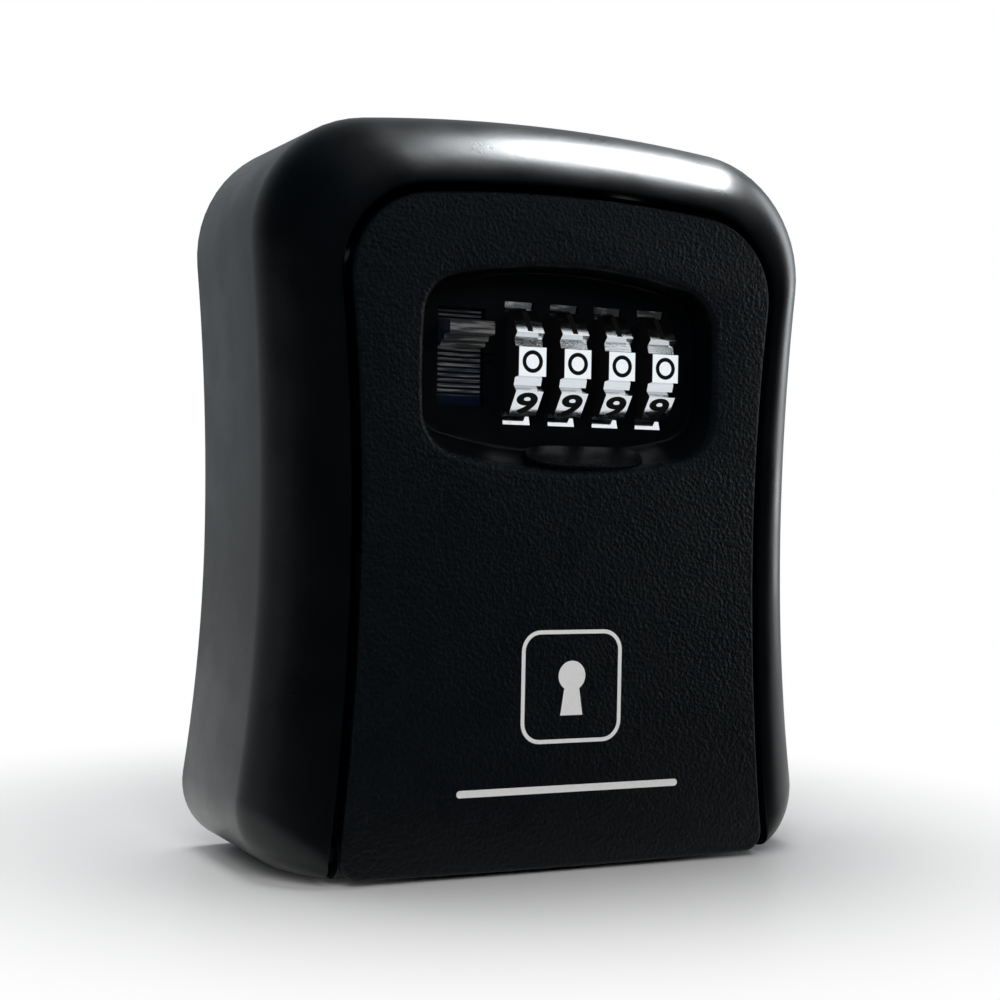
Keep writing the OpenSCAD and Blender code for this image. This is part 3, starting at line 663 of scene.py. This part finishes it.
def door_solid():
    door = door_face()
    skirt = xz_prism((DOOR_BACK - 0.5, SKIRT_Y), door_outline(0.3))
    cut(skirt, xz_prism((DOOR_BACK, SKIRT_Y + 1), door_outline(1.8)))
    join(door, skirt)
    join(door, round_block((RECESS_X - TUB_HALF_W, RECESS_X + TUB_HALF_W), (DOOR_BACK - 0.5, FLOOR_BACK),
                           (RECESS_Z - TUB_HALF_H, RECESS_Z + TUB_HALF_H), TUB_CORNER_R))
    join(door, *[y_rod(POST_R, (DOOR_BACK - 0.5, COVER_INSIDE), x, z) for x, z in POSTS])
    rib_z = (AXLE_Z - RIB_HALF_H, AXLE_Z + RIB_HALF_H)
    join(door, *[block(x, (FLOOR_BACK - 0.5, AXLE_Y + 4), rib_z) for x in RIBS])
    for side in (-1, 1):
        x = sorted((side * KNUCKLE_X[0], side * KNUCKLE_X[1]))
        neck_z = (HINGE_Z - KNUCKLE_NECK, HINGE_Z + KNUCKLE_NECK)
        join(door, block(x, (DOOR_BACK - 0.5, HINGE_Y), neck_z), x_rod(KNUCKLE_R, x, HINGE_Y, HINGE_Z))
        bore = sorted((side * (KNUCKLE_X[0] - 1), side * BOSS_X[0]))
        cut(door, x_rod(PIN_R + 0.06, bore, HINGE_Y, HINGE_Z))
    cut(door, recess_cutter())
    for x in WHEEL_X:
        side = (x - WINDOW_W / 2, x + WINDOW_W / 2)
        window = block(side, (FLOOR_Y - 1, FLOOR_BACK + 1), (AXLE_Z - WINDOW_H / 2, AXLE_Z + WINDOW_H / 2))
        cut(door, window, x_rod(WHEEL_CLEAR_R, side, AXLE_Y, AXLE_Z))
    half = SLIDER_WINDOW_W / 2
    cut(door, block((SLIDER_X - half, SLIDER_X + half), (FLOOR_Y - 1, FLOOR_BACK + 1), SLIDER_WINDOW_Z),
        block((SLIDER_X - SLIDER_PLATE_HALF - 0.1, SLIDER_X + SLIDER_PLATE_HALF + 0.1),
              (SLIDER_POCKET_Y, FLOOR_BACK + 3), SLIDER_CHANNEL_Z),
        x_rod(COLLAR_ROOM_R, (RIBS[0][1], RIBS[1][0]), AXLE_Y, AXLE_Z),
        x_rod(SHAFT_BORE_R, (RIBS[0][0] - 1, RIBS[1][1] + 1), AXLE_Y, AXLE_Z),
        *[y_rod(SCREW_R, (COVER_INSIDE - 9, COVER_INSIDE + 1), x, z) for x, z in POSTS])
    smooth(door, 32)
    finish_piece(door, "door", "door", "door_paint", DOOR_PAINT, REAR_PAINT)
    paint_rear(door, lambda centre, normal: centre.y > DOOR_BACK - 0.2
               and (normal.y > 0.5 or centre.y > FLOOR_BACK + 0.5))
    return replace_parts(door, "door_panel")


def index_mark():
    """Two short raised lines beside the first wheel, where the code is read."""
    line_t, gap = 0.32, 0.5
    z = AXLE_Z + 0.6
    x = (WHEEL_X[0] - WINDOW_W / 2 - 3.2, WHEEL_X[0] - WINDOW_W / 2 - 0.6)
    y = (FLOOR_Y - 0.16, FLOOR_Y + 0.1)
    lines = [round_block(x, y, (z + s * gap - line_t / 2, z + s * gap + line_t / 2), 0.12, 3)
             for s in (-1, 1)]
    mark = join(lines[0], lines[1])
    return finish_piece(smooth(mark), "index_mark", "door", "door_paint", DOOR_PAINT)


def finger_tab():
    """Half-moon pad on the lower slope of the recess."""
    half_w, base, tip = 10.2, (FLOOR_Y - 2.2, 7.1), (DOOR_Y + 0.5, 3.9)
    centre_x, steps, thickness = 3.6, 40, 0.2
    along = Vector((0, tip[0] - base[0], tip[1] - base[1]))
    outward = Vector((0, along.z, -along.y)).normalized()
    points = []
    for i in range(steps):
        a = 2 * math.pi * i / steps
        s, c = math.sin(a), math.cos(a)
        # a wide flat top edge, a full round below
        u = math.copysign(abs(c) ** 0.75, c) * half_w
        v = 0.5 + 0.5 * math.copysign(abs(s) ** (0.9 if s > 0 else 0.45), s)
        points.append((centre_x + u, v))
    rings = []
    for lift, shrink in ((-2.2, 1), (thickness - 0.2, 1), (thickness - 0.06, 0.99), (thickness, 0.96)):
        rings.append([Vector((centre_x + (x - centre_x) * shrink, base[0], base[1]))
                      + along * (0.5 + (v - 0.5) * shrink) + outward * lift for x, v in points])
    n = len(points)
    vertices = [tuple(p) for ring in rings for p in ring]
    faces = [(k * n + i, k * n + (i + 1) % n, (k + 1) * n + (i + 1) % n, (k + 1) * n + i)
             for k in range(len(rings) - 1) for i in range(n)]
    faces += [tuple(range(n)), tuple(range((len(rings) - 1) * n, len(rings) * n))]
    pad = smooth(new_object("finger_tab", vertices, faces), 40)
    return finish_piece(pad, "finger_tab", "door", "door_paint", DOOR_PAINT)


def door_mark():
    """A plain keyhole in a rounded square, and a line under it, printed on the door."""
    y = (DOOR_Y - 0.03, DOOR_Y + 0.1)
    x, z, half, corner_r, stroke = 1.0, -29.5, 8.6, 3.2, 0.62
    line_half, line_z = 19, (-45.6, -44.5)
    mark = round_block((x - half, x + half), y, (z - half, z + half), corner_r)
    inner = half - stroke
    cut(mark, round_block((x - inner, x + inner), (y[0] - 1, y[1] + 1), (z - inner, z + inner),
                          corner_r - stroke))
    eye_z, eye_r, foot_z = z + 1.6, 2.3, z - 4.4
    keyhole = y_rod(eye_r, y, x, eye_z)
    join(keyhole, xz_prism(y, [(x - 1.0, eye_z), (x + 1.0, eye_z), (x + 1.9, foot_z), (x - 1.9, foot_z)]))
    join(mark, keyhole)
    join(mark, round_block((x - line_half, x + line_half), y, line_z, 0.54))
    return finish_piece(smooth(mark), "door_mark", "door", "door_paint", PRINT)

# ---------- slider and wheels ----------


def rib_profile(z0, z1, y, depth, pitch):
    """Points down a ribbed face, from z0 down to z1, with grooves depth deep."""
    count = max(1, round((z0 - z1) / pitch))
    step = (z0 - z1) / count
    points = []
    for i in range(count):
        top = z0 - i * step
        points += [(y, top), (y, top - step * 0.55),
                   (y + depth, top - step * 0.65), (y + depth, top - step * 0.9)]
    return points + [(y, z1)]


def slider():
    half_w = SLIDER_WINDOW_W / 2 - 0.2
    front = SLIDER_POCKET_Y + 0.05
    back = FLOOR_BACK + 0.2
    ridge_y = FLOOR_Y - 4
    ridge_z = (SLIDER_WINDOW_Z[1] - 4.4, SLIDER_WINDOW_Z[1] - 2.3)
    profile = [(back, slider_high.z), (front, slider_high.z)]
    profile += rib_profile(SLIDER_WINDOW_Z[1] + 0.3, ridge_z[1] + 0.6, front, 0.3, 0.75)
    profile += [(front, ridge_z[1] + 0.3), (ridge_y + 0.9, ridge_z[1] + 0.12), (ridge_y + 0.3, ridge_z[1]),
                (ridge_y, ridge_z[1] - 0.35), (ridge_y, ridge_z[0] + 0.35), (ridge_y + 0.3, ridge_z[0]),
                (ridge_y + 2.1, ridge_z[0]), (ridge_y + 2.1, ridge_z[0] - 0.25),
                (ridge_y + 2.35, ridge_z[0] - 0.8), (ridge_y + 3.3, ridge_z[0] - 0.8),
                (ridge_y + 3.3, ridge_z[0] - 1.1), (ridge_y + 3.55, ridge_z[0] - 1.6),
                (front, ridge_z[0] - 1.6)]
    profile += rib_profile(ridge_z[0] - 1.7, SLIDER_WINDOW_Z[0] + 1.7, front, 0.32, 0.78)
    profile += [(front, slider_low.z), (back, slider_low.z)]
    piece = yz_prism((SLIDER_X - half_w, SLIDER_X + half_w), profile)
    join(piece, block((slider_low.x, slider_high.x), (front + 0.33, back), (slider_low.z, slider_high.z)))
    join(piece, *[y_rod(PEG_R, (back - 0.3, slider_high.y), SLIDER_X, z) for z in PEG_Z])
    bevel(piece, 0.08, 2, 25)
    bake_modifiers(piece)
    finish_piece(smooth(piece, 40), "slider", "latch", "slider_plastic", SLIDER)
    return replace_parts(piece, "open_slider")


def digit_mesh(digit):
    """Flat numeral 0.2 mm thick, centred at the origin."""
    if digit == 0:
        piece = cut(y_rod(1.72, (-0.1, 0.1), 0, 0), y_rod(1.1, (-1, 1), 0, 0))
        piece.data.transform(Matrix.Rotation(math.pi / 2, 4, "X"))
    else:
        curve = bpy.data.curves.new("digit", "FONT")
        curve.body = str(digit)
        curve.size = 4.6 * MM
        curve.offset = 0.16 * MM
        curve.extrude = 0.1 * MM
        curve.resolution_u = 6
        text = bpy.data.objects.new("digit", curve)
        bpy.context.scene.collection.objects.link(text)
        bpy.context.view_layer.update()
        evaluated = text.evaluated_get(bpy.context.evaluated_depsgraph_get())
        mesh = bpy.data.meshes.new_from_object(evaluated)
        bpy.data.objects.remove(text)
        piece = bpy.data.objects.new("digit", mesh)
        bpy.context.scene.collection.objects.link(piece)
    low = [min(v.co[i] for v in piece.data.vertices) for i in range(3)]
    high = [max(v.co[i] for v in piece.data.vertices) for i in range(3)]
    centre = Vector([(a + b) / 2 for a, b in zip(low, high)])
    piece.data.transform(Matrix.Translation(-centre))
    tall = (ZERO_TALL if digit == 0 else NUMERAL_TALL) * MM / (high[1] - low[1])
    wide = min(1.6 * tall, NUMERAL_WIDE * MM / (high[0] - low[0])) if digit not in (0, 1) else tall
    piece.data.transform(Matrix.Diagonal((wide, tall, 1, 1)))
    return piece


def numerals(number, x):
    """The ten numerals of a wheel, filled in black, with 0 at the front."""
    everything = bmesh.new()
    for digit in range(10):
        piece = digit_mesh(digit)
        # the numeral lies flat: stand it up facing -Y, lift it to the land, turn it round the axle
        upright = Matrix.Rotation(math.pi / 2, 4, "X")
        lift = Matrix.Translation((0, -(LAND_R - 0.07) * MM, 0))
        turn = Matrix.Rotation(-digit * math.tau / 10, 4, "X")
        place = Matrix.Translation((x * MM, AXLE_Y * MM, AXLE_Z * MM))
        piece.data.transform(place @ turn @ lift @ upright)
        everything.from_mesh(piece.data)
        bpy.data.objects.remove(piece)
    bmesh.ops.remove_doubles(everything, verts=everything.verts, dist=1e-7)
    mesh = bpy.data.meshes.new("numerals")
    everything.to_mesh(mesh)
    everything.free()
    piece = bpy.data.objects.new("numerals", mesh)
    bpy.context.scene.collection.objects.link(piece)
    finish_piece(piece, f"numerals_{number}", f"dial_{number}", "wheel_chrome", NUMERAL)


def dress(node, material, edge, angle=35):
    """Gives a CAD node its material, and edges rounded by edge unless that is 0."""
    piece = frame["nodes"][node]
    piece.data.materials.clear()
    piece.data.materials.append(material)
    weld = piece.modifiers.new("weld", "WELD")
    weld.merge_threshold = 1e-6
    if edge:
        bevel(piece, edge, 2, angle)
    piece.data.shade_smooth()
    by_angle = piece.modifiers.new("normals", "WEIGHTED_NORMAL")
    by_angle.keep_sharp = True


# ---------- stage ----------


def world():
    """White to the camera. For all other rays, pale behind the object and dark in front of it."""
    made = bpy.data.worlds.new("studio")
    made.use_nodes = True
    tree = made.node_tree
    tree.nodes.clear()

    def node(kind, **settings):
        fresh = tree.nodes.new(kind)
        for key, value in settings.items():
            setattr(fresh, key, value)
        return fresh

    direction = node("ShaderNodeTexCoord")
    parts = node("ShaderNodeSeparateXYZ")
    tree.links.new(direction.outputs["Generated"], parts.inputs[0])
    rear = node("ShaderNodeMapRange", interpolation_type="SMOOTHSTEP")
    tree.links.new(parts.outputs["Y"], rear.inputs["Value"])
    for name, number in (("From Min", 0.2), ("From Max", 0.8),
                         ("To Min", 0.006), ("To Max", 0.38)):
        rear.inputs[name].default_value = number
    seen = node("ShaderNodeLightPath")
    strength = node("ShaderNodeMix", data_type="FLOAT")
    tree.links.new(seen.outputs["Is Camera Ray"], strength.inputs[0])
    tree.links.new(rear.outputs[0], strength.inputs[2])
    strength.inputs[3].default_value = 1.0
    background = node("ShaderNodeBackground")
    tint = node("ShaderNodeMix", data_type="RGBA")
    tint.inputs[6].default_value = (0.88, 0.95, 1.0, 1)
    tint.inputs[7].default_value = (1, 1, 1, 1)
    tree.links.new(seen.outputs["Is Camera Ray"], tint.inputs[0])
    tree.links.new(tint.outputs[2], background.inputs["Color"])
    tree.links.new(strength.outputs[0], background.inputs["Strength"])
    output = node("ShaderNodeOutputWorld")
    tree.links.new(background.outputs[0], output.inputs["Surface"])
    bpy.context.scene.world = made


def floor():
    """Pale floor that fades into the white background."""
    half, level = 1.5 / MM, -HALF_H - 0.3
    ground = new_object("floor", [(-half, -half, level), (half, -half, level), (half, half, level),
                                  (-half, half, level)], [(0, 1, 2, 3)])
    s = Shader("floor")
    distance = s.node("ShaderNodeVectorMath", operation="LENGTH")
    s.link(s.stretched(1, 1, 0), distance.inputs[0])
    # painted shade: seen in reflections, the floor in front of the object is coloured dark, standing in
    # for a dark room
    lit = s.maths("MAXIMUM", s.remap(s.axis("Y"), -70, -30, 0.02, 0.9),
                  s.maths("SUBTRACT", 0.9, s.node("ShaderNodeLightPath").outputs["Is Glossy Ray"]))
    shade = s.node("ShaderNodeCombineColor")
    for channel in shade.inputs:
        s.link(lit, channel)
    s.set(base_color=shade.outputs[0], roughness=0.35, specular_ior_level=0.3)
    glow = s.node("ShaderNodeEmission")
    seen = s.node("ShaderNodeLightPath").outputs["Is Camera Ray"]
    share = s.maths("MULTIPLY", s.remap(distance.outputs["Value"], 40, 130, 0, 1), seen)
    both = s.node("ShaderNodeMixShader")
    s.link(share, both.inputs[0])
    s.link(s.bsdf.outputs[0], both.inputs[1])
    s.link(glow.outputs[0], both.inputs[2])
    s.link(both.outputs[0], s.tree.nodes["Material Output"].inputs["Surface"])
    ground.data.materials.append(s.material)


def softbox(name, place, target, width, height, radiance, sheen=True, shade=True):
    """Rectangular light. sheen: seen in reflections; shade: lights matt surfaces."""
    light = bpy.data.lights.new(name, "AREA")
    light.shape, light.size, light.size_y = "RECTANGLE", width, height
    light.energy = radiance * math.pi * width * height
    light.color = (0.93, 0.97, 1.0) if sheen else (1, 1, 1)
    lamp = bpy.data.objects.new(name, light)
    lamp.location = place
    lamp.rotation_euler = (Vector(target) - Vector(place)).to_track_quat("-Z", "Y").to_euler()
    lamp.visible_glossy, lamp.visible_diffuse, lamp.visible_camera = sheen, shade, False
    bpy.context.scene.collection.objects.link(lamp)
    return lamp


def only(names, *lamps):
    """Links lamps to the named pieces, so that nothing else shows their light."""
    pieces = bpy.data.collections.new("lit")
    for name in names:
        pieces.objects.link(bpy.data.objects[name])
    for lamp in lamps:
        lamp.light_linking.receiver_collection = pieces


def lights():
    middle = (0, -0.02, 0)
    softbox("overhead", (0.0, 0.12, 0.7), middle, 0.5, 0.5, 4.5, sheen=False)
    softbox("fill", (-0.3, -0.7, 0.5), middle, 0.6, 0.6, 4, sheen=False)
    # highlights that only the body shows
    only(("shell",),
         softbox("top_band", (0.235, -0.02, 0.41), (0.0, -0.03, 0.05), 0.17, 0.15, 52, shade=False),
         softbox("right_edge", (0.5, 0.15, 0.15), (0.03, -0.02, 0.0), 0.12, 0.4, 3, shade=False))
    # cards that bring out the door's grain and the rim of its recess
    only(("door", "finger_tab"),
         softbox("door_sheen", (0.3, -0.5, 0.4), middle, 0.25, 0.25, 1.1, shade=False),
         softbox("door_edge", (0.5, -0.14, 0.08), middle, 0.12, 0.3, 3.5, shade=False))
    # cards that only the plated wheels mirror, from the floor up
    row = ((WHEEL_X[1] + WHEEL_X[2]) / 2 * MM, FLOOR_Y * MM, AXLE_Z * MM)
    only(WHEELS,
         softbox("card_floor", (-0.02, -0.2, -0.054), (-0.02, -0.2, 1), 0.36, 0.32, 0.9, shade=False),
         softbox("card_front", (0.0, -0.62, 0.1), row, 0.36, 0.35, 1.0, shade=False),
         softbox("card_low", (0.29, -0.56, 0.04), row, 0.14, 0.20, 1.15, shade=False),
         softbox("card_middle", (0.27, -0.48, 0.27), row, 0.14, 0.20, 1.1, shade=False),
         softbox("card_high", (0.215, -0.165, 0.42), row, 0.16, 0.13, 1.0, shade=False))
    # what lights the bare metal and the plastic inside
    only(INSIDE, softbox("inside", (-0.25, -0.5, 0.45), middle, 0.4, 0.4, 3, shade=False))


def camera():
    lens = bpy.data.cameras.new("camera")
    lens.lens, lens.sensor_width, lens.clip_start = 66.6, 36, 0.01
    eye = bpy.data.objects.new("camera", lens)
    pitch, roll, yaw = 89.851, -1.094, -25.832
    place = Matrix.Translation((-0.13206, -0.28851, -0.00062))
    eye.matrix_world = place @ Euler([math.radians(a) for a in (pitch, roll, yaw)]).to_matrix().to_4x4()
    bpy.context.scene.collection.objects.link(eye)
    bpy.context.scene.camera = eye


body_shell()
door_solid()
index_mark()
finger_tab()
door_mark()
slider()
for number, x in enumerate(WHEEL_X, 1):
    numerals(number, x)
    dress(f"dial_wheel_{number}", CHROME, 0.1, 15)
    dress(f"gate_ring_{number}", BRASS, 0.08)
for node, material, edge in (
        ("key_hook", STEEL, 0.15), ("hook_screws", STEEL, 0.1), ("hinge_pins", BLACK_STEEL, 0.15),
        ("inner_cover", COVER, 0.25), ("cover_screws", STEEL, 0.12), ("dial_shaft", STEEL, 0.1),
        ("ring_spacers", STEEL, 0.05), ("shaft_clips", SPRING_STEEL, 0), ("shaft_spring", SPRING_STEEL, 0),
        ("reset_tab", RESET, 0.2), ("detent_spring", SPRING_STEEL, 0), ("detent_rivets", STEEL, 0.1),
        ("latch_plate", BLACK_STEEL, 0.12), ("latch_spring", SPRING_STEEL, 0), ("fence_bar", ZINC, 0.1)):
    dress(node, material, edge)
world()
floor()
lights()
camera()
bpy.context.scene.view_settings.view_transform = "Standard"
